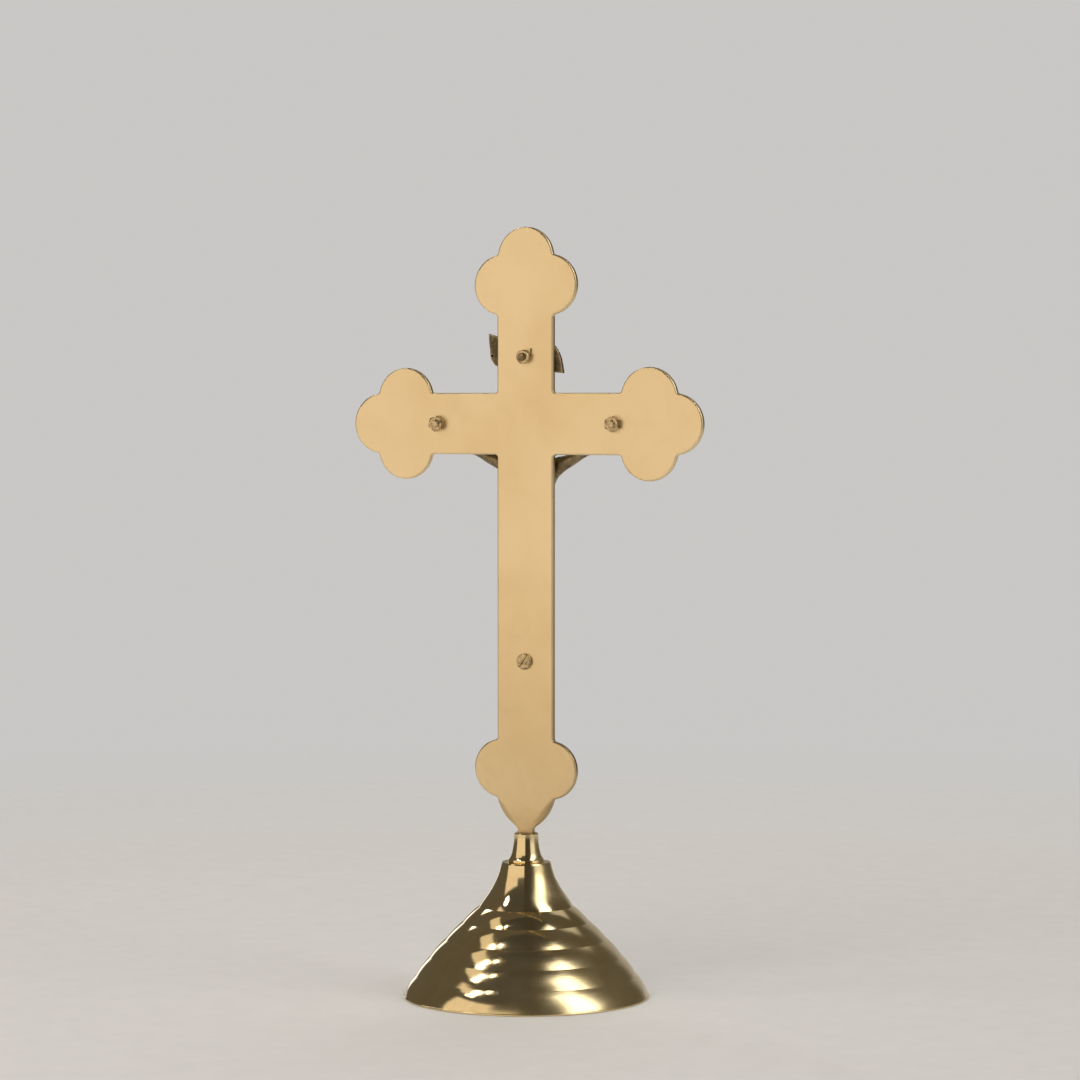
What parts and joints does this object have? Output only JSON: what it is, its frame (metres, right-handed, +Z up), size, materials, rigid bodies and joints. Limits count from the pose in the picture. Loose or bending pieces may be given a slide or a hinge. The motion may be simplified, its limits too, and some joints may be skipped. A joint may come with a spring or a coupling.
{
  "type": "standing altar cross",
  "caption": "Standing altar cross of flat polished brass plate with trefoil ends, an antiqued figure and scroll bolted on the front, on a turned and stepped hollow round base.",
  "frame": {"origin": "centre of the foot ring, on the surface the base stands on", "axes": "+Z up; -Y is the front, the side with the figure; +X is the viewer's right when facing the front"},
  "size_m": [0.19, 0.122, 0.381],
  "materials": {
    "plate_brass": "flat plate, hand buffed to a soft polish",
    "turned_brass": "lathe turned and mirror polished",
    "antique_brass": "cast, dark antique patina rubbed back on the high places",
    "hardware_brass": "plain machined brass, lightly tarnished"
  },
  "bodies": {
    "root": {"cross_plate": "plate_brass", "base_cone": "turned_brass", "neck_collar": "turned_brass", "mounting_rod": "hardware_brass", "base_washer": "hardware_brass", "base_nut": "hardware_brass", "titulus_scroll": "antique_brass", "titulus_stud": "hardware_brass", "titulus_nut": "hardware_brass", "corpus": "antique_brass", "hand_stud_left": "hardware_brass", "hand_stud_right": "hardware_brass", "hand_nut_left": "hardware_brass", "hand_nut_right": "hardware_brass", "foot_screw": "hardware_brass"}
  },
  "joints": []
}
